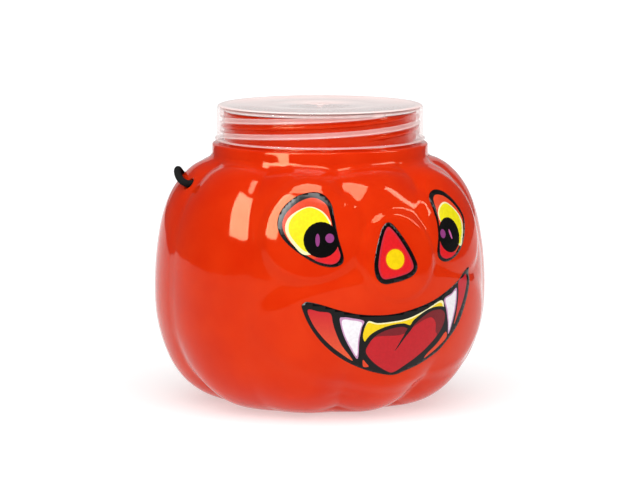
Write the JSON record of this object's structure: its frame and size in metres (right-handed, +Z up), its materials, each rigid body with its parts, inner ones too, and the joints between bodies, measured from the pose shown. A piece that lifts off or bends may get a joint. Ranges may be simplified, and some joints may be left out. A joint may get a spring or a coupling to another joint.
{
  "type": "pumpkin sweet jar",
  "caption": "Blow-moulded plastic pumpkin jar with a printed jack-o'-lantern face, a frosted screw lid and a cord handle.",
  "frame": {"origin": "centre of the bounding box of the jar, lid and prints, on the surface that the jar stands on", "axes": "+Z up along the jar's axis, and the face looks along -Y"},
  "size_m": [0.1834, 0.194, 0.1668],
  "materials": {
    "jar": "gloss",
    "lid": "frosted, see-through",
    "wad": "matte foam",
    "cord": "braided",
    "print": "printed, gloss"
  },
  "bodies": {
    "jar": {"jar_body": "jar", "eye_print_left": "print", "eye_print_right": "print", "nose_print": "print", "mouth_print": "print"},
    "lid_rise": {"lid_wad": "wad"},
    "lid": {"screw_lid": "lid"},
    "handle": {"handle_cord": "cord", "left_knot": "cord", "right_knot": "cord"}
  },
  "joints": [
    {"name": "lid_lift", "type": "slide", "parent": "jar", "child": "lid_rise", "axis": [0, 0, 1], "range_m": [0, 0.04]},
    {"name": "lid_turn", "type": "hinge", "parent": "lid_rise", "child": "lid", "pos_m": [0, 0, 0.157], "axis": [0, 0, 1], "range_deg": [0, 848]},
    {"name": "handle_swing", "type": "hinge", "parent": "jar", "child": "handle", "pos_m": [0, 0.008, 0.125], "axis": [1, 0, 0], "range_deg": [0, 60]}
  ],
  "couplings": [
    {"joint": "lid_turn", "follows": "lid_lift", "rad_per_m": 369.6}
  ]
}
